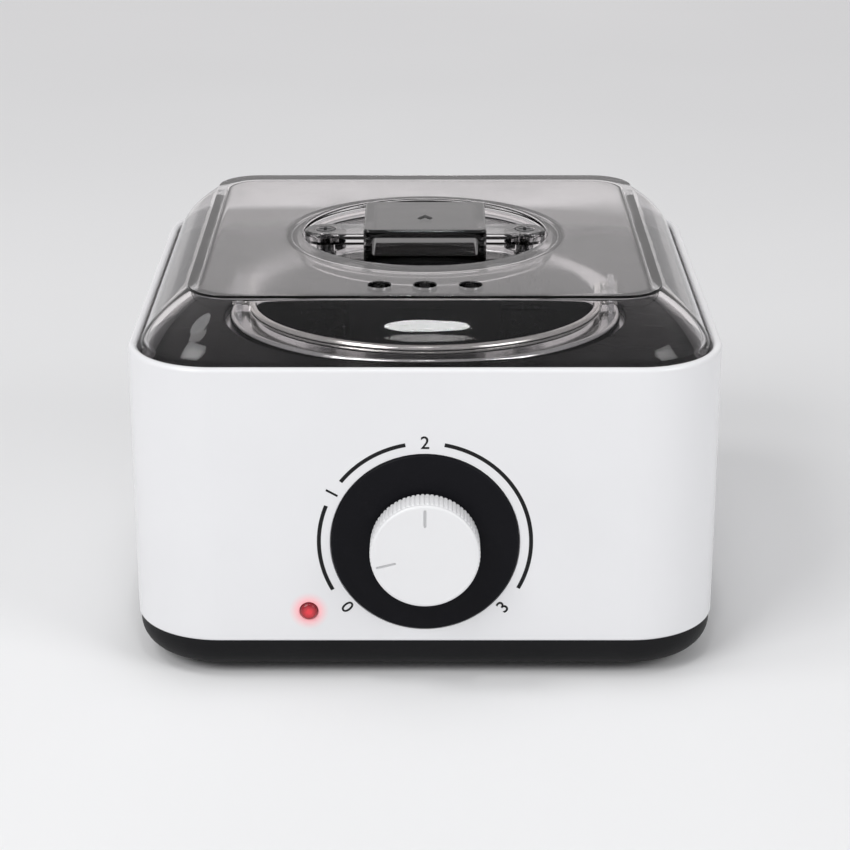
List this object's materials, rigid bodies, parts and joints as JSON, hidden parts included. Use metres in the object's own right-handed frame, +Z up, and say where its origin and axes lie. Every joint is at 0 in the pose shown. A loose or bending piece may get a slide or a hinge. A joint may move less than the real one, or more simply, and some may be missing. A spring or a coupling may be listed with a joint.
{
  "type": "wax warmer",
  "caption": "Square wax warmer: white casing on a black base, front control dial with knob and lamp, clear bevelled lid with a recessed grip, lift-out pot in a heated well.",
  "frame": {"origin": "on the floor, below the middle of the pot and of the casing's footprint", "axes": "+X right, -Y front (dial side), +Z up"},
  "size_m": [0.166, 0.185, 0.113],
  "materials": {
    "white_casing": "moulded gloss white",
    "white_knob": "moulded satin white",
    "black_base": "fine textured black",
    "black_deck": "gloss black",
    "black_dial": "satin black",
    "smoke_lid": "clear smoke moulding",
    "smoke_grip": "smoke grey moulding",
    "red_lens": "clear red",
    "pot_aluminium": "spun, dark coated inside",
    "well_aluminium": "spun bare metal",
    "bail_wire": "drawn wire",
    "screw_steel": "zinc plated",
    "heater_steel": "mica band in sheet steel",
    "fuse_metal": "plated case",
    "thermostat_resin": "brown resin",
    "nut_brass": "plated brass",
    "board_resin": "green board",
    "block_resin": "natural resin",
    "foot_rubber": "matte black"
  },
  "bodies": {
    "housing": {"outer_shell": "white_casing", "base_cover": "black_base", "base_screws": "screw_steel", "rubber_feet": "foot_rubber", "top_deck": "black_deck", "heating_well": "well_aluminium", "well_screws": "screw_steel", "heater_band": "heater_steel", "band_screw": "screw_steel", "fuse_clip": "heater_steel", "thermal_fuse": "fuse_metal", "thermostat_body": "thermostat_resin", "thermostat_nut": "nut_brass", "dial_plate": "black_dial", "indicator_lens": "red_lens", "indicator_led": "red_lens", "lamp_board": "board_resin", "terminal_block": "block_resin", "terminal_screws": "nut_brass", "cord_gland": "black_base", "gland_nut": "black_base"},
    "knob": {"control_knob": "white_knob", "thermostat_shaft": "screw_steel"},
    "lid": {"lid": "smoke_lid", "lid_grip": "smoke_grip", "grip_screws": "screw_steel", "grip_nuts": "screw_steel"},
    "pot": {"wax_pot": "pot_aluminium", "pot_ears": "screw_steel"},
    "bail": {"pot_bail": "bail_wire"}
  },
  "joints": [
    {"name": "knob_turn", "type": "hinge", "parent": "housing", "child": "knob", "pos_m": [0, -0.083, 0.0422], "axis": [0, 1, 0], "range_deg": [-132, 132]},
    {"name": "lid_lift", "type": "slide", "parent": "housing", "child": "lid", "axis": [0, 0, 1], "range_m": [0, 0.15]},
    {"name": "pot_lift", "type": "slide", "parent": "housing", "child": "pot", "axis": [0, 0, 1], "range_m": [0, 0.072]},
    {"name": "bail_swing", "type": "hinge", "parent": "pot", "child": "bail", "pos_m": [0, 0, 0.0894], "axis": [-1, 0, 0], "range_deg": [0, 85]}
  ],
  "couplings": [
    {"joint": "pot_lift", "follows": "lid_lift", "ratio": 0.48},
    {"joint": "bail_swing", "follows": "lid_lift", "rad_per_m": 9.8902}
  ]
}
